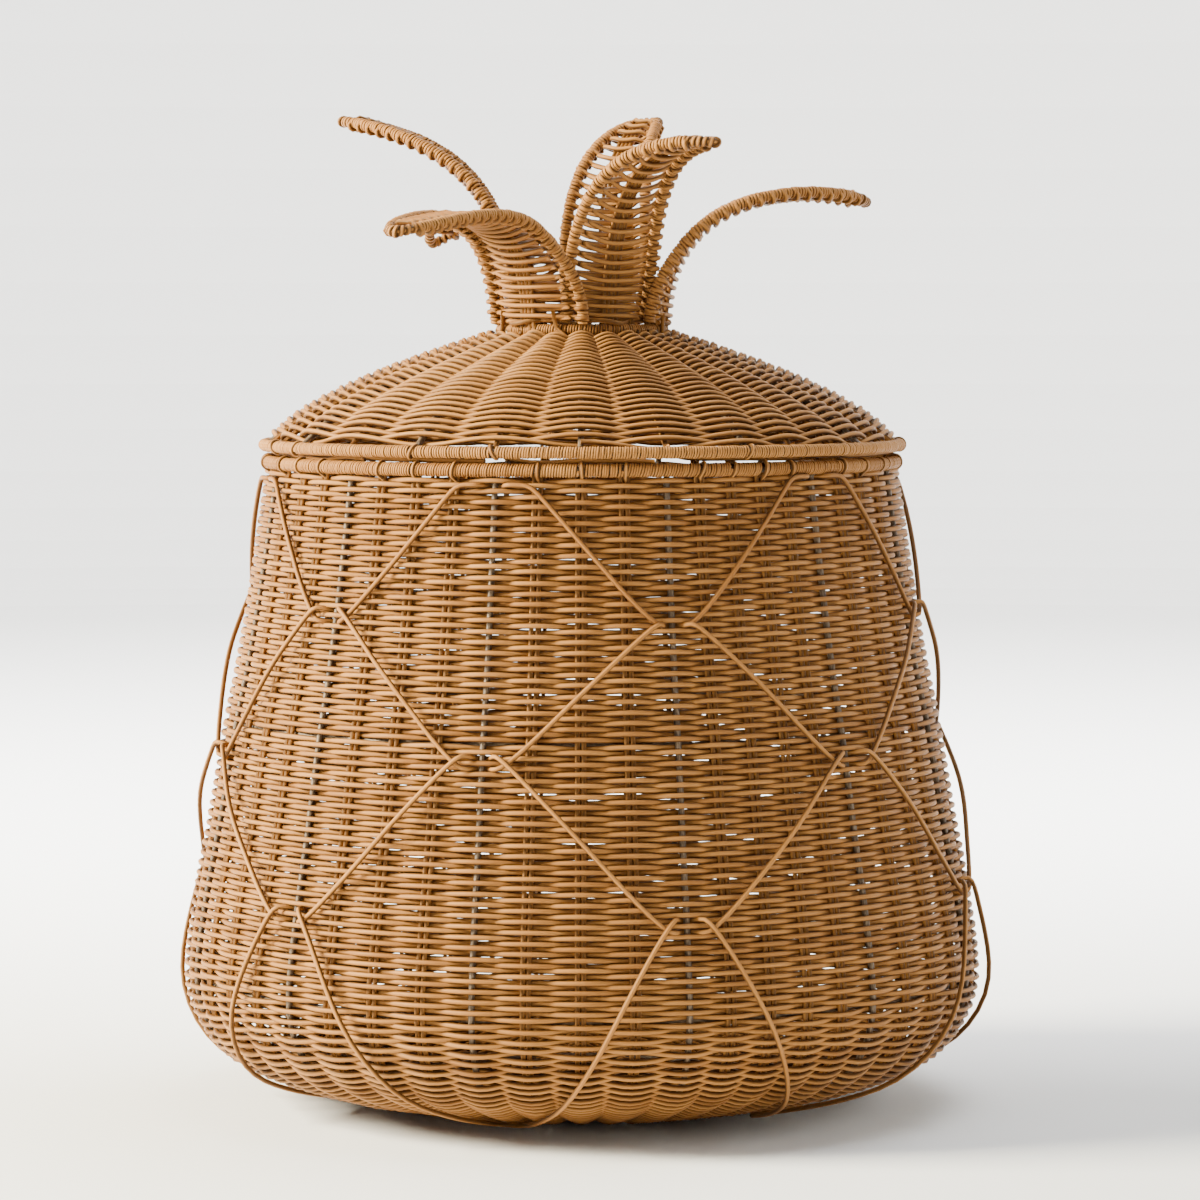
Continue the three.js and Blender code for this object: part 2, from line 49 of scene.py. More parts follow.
camera_data = bpy.data.cameras.new("camera")
camera_data.lens = 144.1
camera = bpy.data.objects.new("camera", camera_data)
camera.location = (camera_aside, -camera_distance, camera_height)
camera.rotation_euler = (math.radians(90 - camera_tilt), 0, 0)
bpy.context.scene.collection.objects.link(camera)
bpy.context.scene.camera = camera


# The studio: a pale floor that runs out flat and curves up into a round wall. A strong softbox lights
# the basket from the left and weak ones from the right and from above, one more lights the wall
# behind it, and the sky is a dim, even white.
studio_flat, studio_wall = 4.0, 6.0


def studio_section(count=24):
    """The radius and height of the floor and the wall, from the middle outwards."""
    turn = np.linspace(0, math.pi / 2, count)
    curve = studio_wall - studio_flat
    radius = np.concatenate([[0], studio_flat + curve * np.sin(turn), [studio_wall]])
    height = np.concatenate([[0], curve * (1 - np.cos(turn)), [studio_wall]])
    return radius, height


def lathe(radius, height, sides=96):
    """The points and faces of a section that is turned round the upright axis."""
    angle = np.arange(sides) * 2 * math.pi / sides
    ring = np.stack([np.sin(angle), -np.cos(angle)], 1)
    points = [(0, 0, height[0])]
    for r, z in zip(radius[1:], height[1:]):
        points += [(r * x, r * y, z) for x, y in ring]
    faces = [(0, 1 + k, 1 + (k + 1) % sides) for k in range(sides)]
    for i in range(len(radius) - 2):
        here, above = 1 + i * sides, 1 + (i + 1) * sides
        for k in range(sides):
            after = (k + 1) % sides
            faces.append((here + k, above + k, above + after, here + after))
    return points, faces


studio_points, studio_faces = lathe(*studio_section())
studio_mesh = bpy.data.meshes.new("studio")
studio_mesh.from_pydata(studio_points, [], studio_faces)
studio = bpy.data.objects.new("studio", studio_mesh)
bpy.context.scene.collection.objects.link(studio)
studio_paint = bpy.data.materials.new("studio_paper")
studio_paint.use_nodes = True
paper = studio_paint.node_tree.nodes["Principled BSDF"]
paper.inputs["Base Color"].default_value = (0.8, 0.8, 0.8, 1)
paper.inputs["Roughness"].default_value = 0.9
studio_mesh.materials.append(studio_paint)


def softbox(name, place, target, width, height, power, colour):
    """A rectangular light that is turned to face its target."""
    light = bpy.data.lights.new(name, "AREA")
    light.shape = "RECTANGLE"
    light.size, light.size_y = width, height
    light.energy = power
    light.color = colour
    lamp = bpy.data.objects.new(name, light)
    lamp.location = place
    away = np.array(place) - np.array(target)
    tilt = math.atan2(math.hypot(away[0], away[1]), away[2])
    lamp.rotation_euler = (tilt, 0, math.atan2(away[0], -away[1]))
    bpy.context.scene.collection.objects.link(lamp)


softbox("key_softbox", (-2.2, -0.42, 1.3), (0, 0, 0.25), 1.0, 1.0, 435, (1, 0.93, 0.70))
softbox("fill_softbox", (2.0, -0.2, 0.9), (0, 0, 0.25), 1.2, 1.4, 12, (0.88, 0.94, 1))
softbox("top_softbox", (0.5, 0.3, 2.3), (0, 0, 0.3), 1.4, 1.4, 50, (0.95, 0.975, 1))
softbox("backdrop_softbox", (0, 0.8, 2.0), (0, 3.3, 1.0), 3.6, 0.8, 600, (1, 1, 1))
world = bpy.data.worlds.new("sky")
world.use_nodes = True
world.node_tree.nodes["Background"].inputs["Color"].default_value = (1, 1, 1, 1)
world.node_tree.nodes["Background"].inputs["Strength"].default_value = 0.06
bpy.context.scene.world = world


# The weave: round rattan cane, laid in one long spiral over and under an odd number of stakes, from
# the middle of the base up to the rim. Its outline is the outer face of the modelled shells. On the
# wall a new length of cane, with a tone of its own, starts every one to three metres.
millimetre = 0.001
steel_count, first_upright = 12, 15.0
weaver_radius = 1.31 * millimetre
row_pitch = 2.53 * millimetre
stake_depth = 4.0 * millimetre
row_wander, press_spread = 0.07 * millimetre, 0.05
row_sway, sway_length, sway_waves = 0.32 * millimetre, 14 * millimetre, 2.3
parting_length = 0.3 * row_pitch
# A length of cane passes twice this many stakes, and its thickness differs by up to this share
half_runs, cane_spread = (16, 60), 0.05
# The points from one stake to the next
crossing_samples = 5


def vertices_of(node):
    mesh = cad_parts[node].data
    points = np.empty(len(mesh.vertices) * 3)
    mesh.vertices.foreach_get("co", points)
    return points.reshape(-1, 3)


def meridian(node, degrees):
    """The places in radius and height of a shell's outer stations, which lie at one azimuth."""
    angle = math.radians(degrees)
    points = vertices_of(node)
    ahead = points[:, 0] * math.sin(angle) - points[:, 1] * math.cos(angle)
    aside = points[:, 0] * math.cos(angle) + points[:, 1] * math.sin(angle)
    on_line = (np.abs(aside) < 0.05 * millimetre) & (ahead > 0)
    places = {(round(r, 5), round(z, 5)) for r, z in zip(ahead[on_line], points[on_line, 2])}
    return sorted(places, key=lambda place: place[1])


def lengths_along(line):
    """The distance along a line at each of its points."""
    steps = np.linalg.norm(np.diff(line, axis=0), axis=1)
    return np.concatenate([[0], np.cumsum(steps)])


def look_up(table, lengths, length):
    """The rows of a table between those that are given for some lengths."""
    return np.stack([np.interp(length, lengths, column) for column in table.T], -1)


class Outline:
    """The outer face of a woven shell as a smooth curve in radius and height, by its arc length."""

    def __init__(self, places):
        kept = [places[0]]
        for place in places[1:]:
            if math.dist(place, kept[-1]) > 2 * millimetre:
                kept.append(place)
        p = np.array(kept)
        p = np.vstack([2 * p[0] - p[1], p, 2 * p[-1] - p[-2]])
        t = np.linspace(0, 1, 40, endpoint=False)[:, None]
        spans = []
        for a, b, c, d in zip(p, p[1:], p[2:], p[3:]):
            slope, curve, twist = c - a, 2 * a - 5 * b + 4 * c - d, 3 * b - 3 * c + d - a
            spans.append(0.5 * (2 * b + slope * t + curve * t**2 + twist * t**3))
        self.places = np.vstack(spans + [p[-2:-1]])
        self.lengths = lengths_along(self.places)
        self.end = self.lengths[-1]
        tangent = np.gradient(self.places, axis=0)
        tangent /= np.linalg.norm(tangent, axis=1)[:, None]
        self.normals = np.stack([tangent[:, 1], -tangent[:, 0]], 1)

    def outwards(self, length):
        """The direction out of the wall at an arc length."""
        return look_up(self.normals, self.lengths, length)

    def at(self, length, depth=0.0):
        """Radius and height at an arc length and a depth below the outer face."""
        inset = self.outwards(length) * np.asarray(depth)[..., None]
        return look_up(self.places, self.lengths, length) - inset

    def find(self, value, axis, low=0.0, high=None):
        """The arc length where the radius (axis 0) or the height (axis 1) reaches a value."""
        inside = (self.lengths >= low) & (self.lengths <= (high or self.end))
        nearest = np.argmin(np.abs(self.places[inside, axis] - value))
        return self.lengths[inside][nearest]


def around(place, degrees):
    """Points in space from places in radius and height, at azimuths from the front towards +X."""
    angle = np.radians(degrees)
    return np.stack([place[..., 0] * np.sin(angle), -place[..., 0] * np.cos(angle), place[..., 1]], -1)


def unit(vectors):
    return vectors / np.maximum(np.linalg.norm(vectors, axis=-1, keepdims=True), 1e-12)


class Bundle:
    """Strands of cane or wire gathered into one mesh, each with its grain and its own tone."""

    def __init__(self, seed):
        self.random = np.random.default_rng(seed)
        self.points, self.grain, self.tone, self.faces = [], [], [], []
        self.count = 0

    def strand(self, line, facing, radius, sides=8, flat=1.0, closed=False):
        """A strand along a line. flat is its thickness towards facing, as a share of its width."""
        line = np.asarray(line)
        steps = len(line)
        if closed:
            tangent = unit(np.roll(line, -1, 0) - np.roll(line, 1, 0))
        else:
            tangent = unit(np.gradient(line, axis=0))
        side = unit(np.cross(tangent, np.broadcast_to(facing, line.shape)))
        up = np.cross(side, tangent)
        turn = np.arange(sides) * 2 * math.pi / sides
        across = np.broadcast_to(radius * np.cos(turn), (steps, sides))
        through = np.broadcast_to(radius * flat * np.sin(turn), (steps, sides))
        ring = line[:, None] + across[..., None] * side[:, None] + through[..., None] * up[:, None]
        start = self.random.uniform(0, 10)
        along = np.broadcast_to((lengths_along(line) + start)[:, None], across.shape)
        grain = np.stack([across, through, along], -1) / millimetre
        first = self.count + (np.arange(steps) * sides)[:, None]
        if closed:
            after = np.roll(first, -1, 0)
        else:
            first, after = first[:-1], first[1:]
        here, turned = np.arange(sides), (np.arange(sides) + 1) % sides
        quads = np.stack([first + here, after + here, after + turned, first + turned], -1)
        self.points.append(ring.reshape(-1, 3))
        self.grain.append(grain.reshape(-1, 3))
        self.tone.append(np.full(steps * sides, self.random.random()))
        self.faces.append(quads.reshape(-1, 4)[:, ::-1])
        if not closed:
            self.close_ends(self.count + (steps - 1) * sides, sides)
        self.count += steps * sides

    def close_ends(self, last, sides):
        """Fills the first and the last ring of a strand with fans of four-sided faces."""
        for k in range(0, sides - 2, 2):
            near = [self.count + i for i in (0, k + 1, k + 2, k + 3)]
            far = [last + i for i in (0, k + 3, k + 2, k + 1)]
            self.faces.append(np.array([near, far]))

    def mesh(self, name):
        """The gathered strands as a smooth mesh."""
        points, faces = np.concatenate(self.points), np.concatenate(self.faces)
        mesh = bpy.data.meshes.new(name)
        mesh.vertices.add(len(points))
        mesh.vertices.foreach_set("co", points.astype(np.float32).ravel())
        mesh.loops.add(faces.size)
        mesh.loops.foreach_set("vertex_index", faces.astype(np.int32).ravel())
        mesh.polygons.add(len(faces))
        mesh.polygons.foreach_set("loop_start", np.arange(0, faces.size, 4, dtype=np.int32))
        mesh.polygons.foreach_set("use_smooth", np.ones(len(faces), bool))
        mesh.update(calc_edges=True)
        mesh.validate()
        grain = mesh.attributes.new("grain", "FLOAT_VECTOR", "POINT")
        grain.data.foreach_set("vector", np.concatenate(self.grain).astype(np.float32).ravel())
        tone = mesh.attributes.new("tone", "FLOAT", "POINT")
        tone.data.foreach_set("value", np.concatenate(self.tone).astype(np.float32))
        return mesh

    def make(self, name, material, body, slot, *nodes):
        """Makes the gathered strands one piece of the object."""
        mesh = self.mesh(name)
        mesh.materials.append(material)
        piece = bpy.data.objects.new(name, mesh)
        bpy.context.scene.collection.objects.link(piece)
        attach(piece, body)
        if nodes:
            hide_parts(*nodes)


class Wire:
    """A socket of a material's nodes. Sums on it add the nodes that work them out."""

    def __init__(self, tree, socket=None):
        self.tree, self.socket = tree, socket

    def node(self, kind, settings, sockets, output=0):
        """Adds a node: its settings first, then the values or links of its sockets."""
        node = self.tree.nodes.new(kind)
        for name, value in settings.items():
            setattr(node, name, value)
        for name, value in sockets.items():
            plug(node.inputs[name], value)
        return Wire(self.tree, node.outputs[output])

    def maths(self, operation, *values):
        return self.node("ShaderNodeMath", {"operation": operation}, dict(enumerate(values)))

    def __add__(self, other):
        return self.maths("ADD", self, other)

    def __sub__(self, other):
        return self.maths("SUBTRACT", self, other)

    def __rsub__(self, other):
        return self.maths("SUBTRACT", other, self)

    def __mul__(self, other):
        return self.maths("MULTIPLY", self, other)

    __radd__, __rmul__ = __add__, __mul__


def plug(socket, value):
    """Links a socket to a wire, or sets it to a plain value."""
    if isinstance(value, Wire):
        value.tree.links.new(value.socket, socket)
    else:
        socket.default_value = value


def shader(name):
    """A new material, a wire to start its nodes from, and its surface shader."""
    material = bpy.data.materials.new(name)
    material.use_nodes = True
    return material, Wire(material.node_tree), material.node_tree.nodes["Principled BSDF"]


def set_sockets(surface, **values):
    """Sets or links the sockets of a surface shader."""
    for name, value in values.items():
        plug(surface.inputs[name.replace("_", " ")], value)


def mixed(factor, first, second):
    """A colour between two colours, from the colour sockets of a Mix node."""
    return factor.node(
        "ShaderNodeMix", {"data_type": "RGBA"}, {0: factor, 6: first, 7: second}, output=2
    )


def darker(colour, share):
    return (*(part * share for part in colour[:3]), 1)


def risen(value, low, high, full=1.0):
    """Goes smoothly from nothing to full while a value goes from low to high."""
    return value.node(
        "ShaderNodeMapRange", {"interpolation_type": "SMOOTHSTEP"},
        {"Value": value, "From Min": low, "From Max": high, "To Min": 0.0, "To Max": full},
    )


def noise(grain, stretch, scale, detail):
    """Noise in a strand's own space: across it, through it and along it."""
    place = grain.node("ShaderNodeVectorMath", {"operation": "MULTIPLY"}, {0: grain, 1: stretch})
    return grain.node("ShaderNodeTexNoise", {}, {"Vector": place, "Scale": scale, "Detail": detail})


def cane_material(name, pale, deep, half_width):
    """Peeled rattan core: fine long fibres, a slow change of tone along each length, a soft sheen of
    its own colour, small dark specks, and painted shade where a strand turns down towards its
    neighbours."""
    material, wire, surface = shader(name)
    grain = wire.node("ShaderNodeAttribute", {"attribute_name": "grain"}, {}, output=1)
    tone = wire.node("ShaderNodeAttribute", {"attribute_name": "tone"}, {}, output=2)
    fibres = noise(grain, (1, 1, 0.07), 5.0, 3.0)
    drift = noise(grain, (0.05, 0.05, 0.02), 1.0, 2.0)
    specks = risen(noise(grain, (1, 1, 0.5), 2.2, 1.0), 0.68, 0.78, 0.35)
    colour = mixed(tone * 0.5 + drift * 0.9 + fibres * 0.5 - 0.45, pale, deep)
    # Painted shade: the sides of each strand, where it turns towards its neighbours, are darkened in its
    # colour in place of the shadow between strands
    across = wire.maths("ABSOLUTE", wire.node("ShaderNodeSeparateXYZ", {}, {0: grain}))
    painted_crevice_shade = risen(across, half_width * 0.42, half_width, 0.92)
    colour = mixed(painted_crevice_shade, colour, darker(deep, 0.28))
    colour = mixed(specks, colour, darker(deep, 0.5))
    bump = wire.node("ShaderNodeBump", {}, {"Height": fibres, "Strength": 0.35, "Distance": 0.00012})
    set_sockets(surface, Base_Color=colour, Roughness=0.42 + fibres * 0.2, Normal=bump)
    set_sockets(surface, Specular_IOR_Level=0.2, Specular_Tint=(1, 0.75, 0.45, 1))
    return material


woven_cane = cane_material("woven_cane", (0.385, 0.175, 0.049, 1), (0.200, 0.078, 0.020, 1), 1.3)

foot_centre = [(radius, 0.0) for radius in (0.012, 0.036, 0.06)]
wall_places = meridian("woven_bowl", first_upright) + meridian("woven_wall", first_upright)
body = Outline(foot_centre + wall_places)

# The stakes are 12 steel uprights, with three pairs of canes in each bay between them. One bay on the
# right holds a fourth pair, which makes their number odd, so that the spiral changes sides on every
# round. A stake's reach is how far it pushes the weaver to either side.
bay = 360 / steel_count
odd_bay = 0
stakes = []
for k in range(steel_count):
    pairs = 4 if k == odd_bay else 3
    stakes.append((first_upright + k * bay, True))
    stakes += [(first_upright + (k + (i + 1) / (pairs + 1)) * bay, False) for i in range(pairs)]
stake_degrees = np.array([degrees for degrees, _ in stakes])
steel_reach, cane_reach = 2.75 * millimetre, 2.42 * millimetre
stake_reach = np.array([steel_reach if is_steel else cane_reach for _, is_steel in stakes])


def eased(share):
    """A share that starts and ends gently."""
    return (1 - np.cos(np.pi * share)) / 2


def between(knots, place):
    """Goes gently from knot to knot."""
    low = np.floor(place).astype(int)
    ease = eased(place - low)
    return knots[low] * (1 - ease) + knots[low + 1] * ease


def spiral(outline, degrees, reach, start, end, seed, last_degrees=0, gaps=(), samples=crossing_samples):
    """The line of a weaver that winds over one stake and under the next, its facing, and its arc
    lengths. It starts at about one arc length, and ends at another and at last_degrees. At each gap,
    which has an arc length and a width, two rows part to let a hoop show."""
    random = np.random.default_rng(seed)
    count = len(degrees)
    opened = sum(width for _, width in gaps)
    turns = round((end - start - opened) / row_pitch) + (last_degrees - degrees[0]) % 360 / 360
    start = end - opened - turns * row_pitch
    crossings = round(turns * count)
    crossing = np.arange(crossings * samples + 1) / samples
    number = np.arange(crossings + 2)
    azimuth = np.interp(crossing, number, degrees[number % count] + 360 * (number // count))
    length = start + row_pitch * (azimuth - degrees[0]) / 360
    for place, width in gaps:
        length = length + width * np.clip((length - place) / parting_length + 0.5, 0, 1)
    wander = between(random.normal(0, row_wander, crossings + 2), crossing)
    sway = row_sway * np.sin(np.radians(azimuth * sway_waves)) * np.sin(length / sway_length)
    length = length + wander + sway
    press = between(random.normal(1, press_spread, crossings + 2), crossing)
    swing = between(reach[number % count], crossing) * press * np.cos(np.pi * crossing)
    place = outline.at(length, stake_depth - swing)
    # The underside of the base stays above the floor
    place[:, 1] = np.maximum(place[:, 1], weaver_radius * 1.05)
    return around(place, azimuth), around(outline.outwards(length), azimuth), length


def lay_weaver(line, facing, length, bounds, bundles, samples=crossing_samples):
    """Cuts the spiral into lengths of cane and gives each to the bundle of its stretch of wall. Each
    length of cane ends behind a stake, at an odd crossing."""
    random = np.random.default_rng(len(line))
    step = 0
    while step < len(line) - 1:
        crossings = 2 * int(random.integers(*half_runs)) + (1 if step == 0 else 0)
        last = min(step + samples * crossings, len(line) - 1)
        bundle = bundles[np.searchsorted(bounds, length[step])]
        radius = weaver_radius * random.uniform(1 - cane_spread, 1 + cane_spread)
        bundle.strand(line[step:last + 1], facing[step:last + 1], radius)
        step = last


def ring_size(node):
    """The radius and height of the middle of a modelled ring's wire."""
    low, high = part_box(node)
    return (high.x - low.x - (high.z - low.z)) / 2, (high.z + low.z) / 2


# The low hoop lies further out than this radius
past_base = 150 * millimetre
low_hoop_length = body.find(ring_size("low_hoop")[1], 1, body.find(past_base, 0))
middle_hoop_length = body.find(ring_size("middle_hoop")[1], 1, low_hoop_length)
foot_length = body.find(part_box("woven_base")[1].x, 0, 0, low_hoop_length)
top_length = body.end - 0.2 * millimetre

# The middle of the base is woven over fewer stakes
inner_count = 25
inner_degrees = np.arange(inner_count) * 360 / inner_count
inner_reach = np.full(inner_count, cane_reach)
inner_end = foot_length * 0.66
base_bundle = Bundle(1)
inner_spiral = spiral(body, inner_degrees, inner_reach, 2 * row_pitch, inner_end, 2)
lay_weaver(*inner_spiral, [], [base_bundle])

hoop_gaps = [(low_hoop_length, 1.2 * millimetre), (middle_hoop_length, 1.25 * millimetre)]
wall_spiral = spiral(
    body, stake_degrees, stake_reach, inner_end + row_pitch / 2, top_length, 3,
    last_degrees=100, gaps=hoop_gaps,
)
row_lengths = wall_spiral[2]
wall_span = top_length - low_hoop_length
bounds = [foot_length, (foot_length + low_hoop_length) / 2, low_hoop_length]
bounds += [low_hoop_length + wall_span * share for share in (0.25, 0.5, 0.75)]
bowl_bundles = [Bundle(4), Bundle(5)]
wall_bundles = [Bundle(6 + i) for i in range(4)]
lay_weaver(*wall_spiral, bounds, [base_bundle] + bowl_bundles + wall_bundles)
base_bundle.make("base_weave", woven_cane, "basket", "woven_cane", "woven_base")
for i, bundle in enumerate(bowl_bundles):
    bundle.make(f"bowl_weave_{i + 1}", woven_cane, "basket", "woven_cane", "woven_bowl")
for i, bundle in enumerate(wall_bundles):
    bundle.make(f"wall_weave_{i + 1}", woven_cane, "basket", "woven_cane", "woven_wall")


# The stakes: pairs of rattan canes that stand between the steel uprights, from the base up to the
# rim, and single canes in the middle of the base. The weave holds them.
stake_radius = 1.15 * millimetre
pair_half = 1.5 * millimetre
laid_cane = cane_material("laid_cane", (0.385, 0.175, 0.049, 1), (0.216, 0.085, 0.022, 1), 1.2)
rim_radius, rim_z = ring_size("rim_hoop")
cane_degrees = [degrees for degrees, is_steel in stakes if not is_steel]


def sideways(degrees, distance):
    """A step along the wall, at right angles to an azimuth."""
    angle = np.radians(degrees)
    return np.array([math.cos(angle), math.sin(angle), 0]) * distance


stake_bundle = Bundle(20)
stake_steps = np.linspace(foot_length * 0.6, body.end, 110)
for degrees in cane_degrees:
    for side in (-1, 1):
        place = body.at(stake_steps, stake_depth + stake_bundle.random.normal(0, 0.05 * millimetre))
        place = np.vstack([place, [rim_radius, rim_z]])
        stake_line = around(place, degrees) + sideways(degrees, side * pair_half)
        stake_bundle.strand(stake_line, sideways(degrees, 1), stake_radius)
inner_steps = np.linspace(0, foot_length * 0.7, 12)
for degrees in inner_degrees:
    inner_line = around(body.at(inner_steps, stake_depth), degrees)
    stake_bundle.strand(inner_line, sideways(degrees, 1), stake_radius)
stake_bundle.make("cane_stakes", laid_cane, "basket", "laid_cane")


# The frame of the basket: steel wire, welded where the uprights cross the hoops, under a thin
# greyish brown lacquer that has worn brighter in places.
def steel_material():
    material, wire, surface = shader("lacquered_steel")
    grain = wire.node("ShaderNodeAttribute", {"attribute_name": "grain"}, {}, output=1)
    stains = noise(grain, (1, 1, 0.25), 1.2, 4.0)
    worn = risen(stains, 0.42, 0.62)
    colour = mixed(worn, (0.075, 0.045, 0.025, 1), (0.17, 0.115, 0.07, 1))
    bump = wire.node("ShaderNodeBump", {}, {"Height": stains, "Strength": 0.3, "Distance": 0.0001})
    set_sockets(surface, Base_Color=colour, Roughness=0.55 - worn * 0.15, Normal=bump)
    set_sockets(surface, Metallic=0.15 + worn * 0.2)
    return material


steel = steel_material()
rod_radius = 1.5 * millimetre
rim_rod_radius = 1.75 * millimetre


def steel_hoop(name, node, body_name, wire_radius, steps=240):
    low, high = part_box(node)
    z = (low.z + high.z) / 2
    # The solid's ring is faceted, so its widest point is one corner of the section
    radius = high.x - (high.z - low.z) / 2 * 1.05
    line = around(np.full((steps, 2), (radius, z)), np.arange(steps) * 360 / steps)
    hoop = Bundle(30)
    hoop.strand(line, (0, 0, 1), wire_radius, sides=10, closed=True)
    hoop.make(name, steel, body_name, "steel_wire", node)


for hoop_node in ("middle_hoop", "low_hoop", "base_ring"):
    steel_hoop(f"steel_{hoop_node}", hoop_node, "basket", rod_radius)
steel_hoop("steel_rim_hoop", "rim_hoop", "basket", rim_rod_radius)
upright_steps = np.linspace(foot_length + 2 * millimetre, body.end, 90)
upright_place = np.vstack([body.at(upright_steps, stake_depth), [rim_radius, rim_z - rim_rod_radius]])
for k in range(steel_count):
    upright = Bundle(40 + k)
    degrees = first_upright + k * bay
    upright.strand(around(upright_place, degrees), sideways(degrees, 1), rod_radius, sides=10)
    upright.make(f"steel_upright_{k + 1:02d}", steel, "basket", "steel_wire", f"upright_{k + 1:02d}")


# The basket's rim: fine cane, wound turn by turn over the rim hoop. At each pair of stakes one of them
# is folded over the rim, and one of these folds, on the right, stands up close under the lid.
binding_cane = cane_material("binding_cane", (0.415, 0.192, 0.056, 1), (0.237, 0.095, 0.025, 1), 0.62)
turn_pitch, turn_samples = 1.28 * millimetre, 12
# Shares of a turn's pitch: its thickness, half its width, and how far it strays along and outwards
turn_flat, turn_half, turn_stray, turn_rise = 0.72, 0.51, 0.10, 0.08


def smooth_noise(random, count, knot_every):
    knots = random.normal(0, 1, count // knot_every + 3)
    return between(knots, np.arange(count) / knot_every)


def wind(bundle, ways, start, end, wrap_radius, width=turn_pitch, lean=0.0, opened=0.0):
    """Winds a fine cane round a wire, from one length along it to another. ways are three functions
    of the length along the wire, which give its middle and two directions across it. The turns touch,
    unless opened gives the share of their pitch that stays free on either side."""
    centre, out, up = ways
    random = bundle.random
    turns = max(2, round((end - start) / width))
    steps = turns * turn_samples + 1
    turn = np.arange(steps) / turn_samples
    angle = 2 * math.pi * (turn + random.random())
    along = start + (end - start) * turn / turns
    along = along + turn_stray * width * smooth_noise(random, steps, turn_samples)
    along = along + lean * np.sin(angle)
    rise = turn_rise * width * smooth_noise(random, steps, turn_samples // 2)
    radius = wrap_radius - turn_flat / 2 * width + rise
    away = out(along) * np.cos(angle)[:, None] + up(along) * np.sin(angle)[:, None]
    line = centre(along) + away * radius[:, None]
    bundle.strand(line, away, width * (turn_half - opened), sides=6, flat=turn_flat)


def rim_ways(radius, height):
    """The middle of a rim and the two directions across it, by length along it."""
    def centre(along):
        place = np.broadcast_to([radius, height], (*np.shape(along), 2))
        return around(place, np.degrees(along / radius))

    def out(along):
        direction = np.broadcast_to([1.0, 0.0], (*np.shape(along), 2))
        return around(direction, np.degrees(along / radius))

    def up(along):
        return np.broadcast_to([0.0, 0.0, 1.0], (*np.shape(along), 3))

    return centre, out, up


def fold_over(bundle, ways, at, tilt, from_angle, to_angle, wrap_radius, lead=None):
    """A thicker cane folded over a rim. tilt is how far its top leans along the rim, and lead are
    points that it comes from."""
    centre, out, up = ways
    angle = np.radians(np.linspace(from_angle, to_angle, 15))
    along = at + tilt * np.sin(angle)
    away = out(along) * np.cos(angle)[:, None] + up(along) * np.sin(angle)[:, None]
    line = centre(along) + away * wrap_radius
    if lead is not None:
        line, away = np.vstack([lead, line]), np.vstack([np.repeat(away[:1], len(lead), 0), away])
    bundle.strand(line, away, fold_radius, flat=fold_flat)


rim_wrap_radius, rim_lean = 3.35 * millimetre, 0.35 * millimetre
fold_radius, fold_flat, fold_half = 1.1 * millimetre, 0.85, 1.2 * millimetre
fold_start, fold_end = -60, 170
# The modelled rim carries the lid on six raised folds. This is the azimuth of the one that shows here,
# and how near to it its stake lies.
rest_degrees, rest_reach = 30 + first_upright / 4, 3.4
rest_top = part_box("rim_wrapping")[1].z
rim_bundle = Bundle(60)
ways = rim_ways(rim_radius, rim_z)
around_rim = 2 * math.pi * rim_radius
folds = [math.radians(degrees) * rim_radius for degrees in cane_degrees]
for fold, after in zip(folds, folds[1:] + [folds[0] + around_rim]):
    lean = rim_lean * rim_bundle.random.uniform(0.2, 1.6)
    wind(rim_bundle, ways, fold + fold_half, after - fold_half, rim_wrap_radius, lean=lean)
for degrees, fold in zip(cane_degrees, folds):
    away = rim_wrap_radius - 0.4 * millimetre + rim_bundle.random.uniform(0, 0.5) * millimetre
    if abs(degrees - rest_degrees) < rest_reach:
        away = rest_top - rim_z - fold_radius * fold_flat
    tilt = rim_bundle.random.normal(0.3, 0.5) * millimetre
    lead_place = body.at(body.end - np.array([4, 1]) * millimetre, stake_depth)
    lead = around(lead_place, degrees) + sideways(degrees, pair_half * 0.5)
    at = fold + pair_half * 0.3
    fold_over(rim_bundle, ways, at, tilt, fold_start, fold_end, away, lead)
rim_bundle.make("rim_binding", binding_cane, "basket", "binding_cane", "rim_wrapping")


# The trellis: four thin canes laid over the weave in closed zigzags, one below the other. At each arch
# and each bend but the lowest, the cane goes in behind a steel upright, like the weaver, and comes out
# again. At a crossing the arch of the lower cane lies over the bend of the upper one.
trellis_radius = 1.22 * millimetre
first_arch, arch_step = -15, 60
arches = 360 // arch_step
trellis_rows = [value * millimetre for value in (317.5, 249, 182, 111)]
trellis_bow = [value * millimetre for value in (0.2, 1.2, 1.8, 1.2)]
trellis_foot_radius = 122 * millimetre
# How much the corners of the zigzags are rounded, and how closely their points crowd there
arch_corner, crowding = math.radians(21.6), 0.14
bend_softness = 0.8 * millimetre
# Towards its arches a cane lies over the one that it crosses, by shares of its drop, and close to the
# uprights it goes in behind them, by distances from the upright
hook_start, hook_end = 0.3, 0.75
hook_near, hook_far = 3 * millimetre, 11 * millimetre
behind_near, behind_far = 1.8 * millimetre, 8 * millimetre
# The canes run level through the weave at their arches and bends, and the highest arches most. The
# bend of one cane and the arch of the next are a little apart.
tucked, tucked_at_rim, apart = 3 * millimetre, 13 * millimetre, 1 * millimetre
# How far some crossings were pulled up or down, listed by their row and azimuth, and how far the
# others were at random, in millimetres
pulled = {(1, 15): -2.8, (1, 315): 2.5, (2, 345): 1.0, (2, 45): -1.2, (3, 315): 1.0, (3, 15): -1.0}
pull_spread = 1.6
pull_random = np.random.default_rng(75)
# This crossing lies at a single row of the weaver, and its two canes are this far from the row
close_crossing, close_step = (1, 15), 0.8 * millimetre


def smoothstep(value, low, high):
    share = np.clip((value - low) / (high - low), 0, 1)
    return share * share * (3 - 2 * share)


def above_zero(value, softness):
    """A value where it is positive and nothing where it is negative, with a soft change between."""
    return softness * np.log1p(np.exp(value / softness))


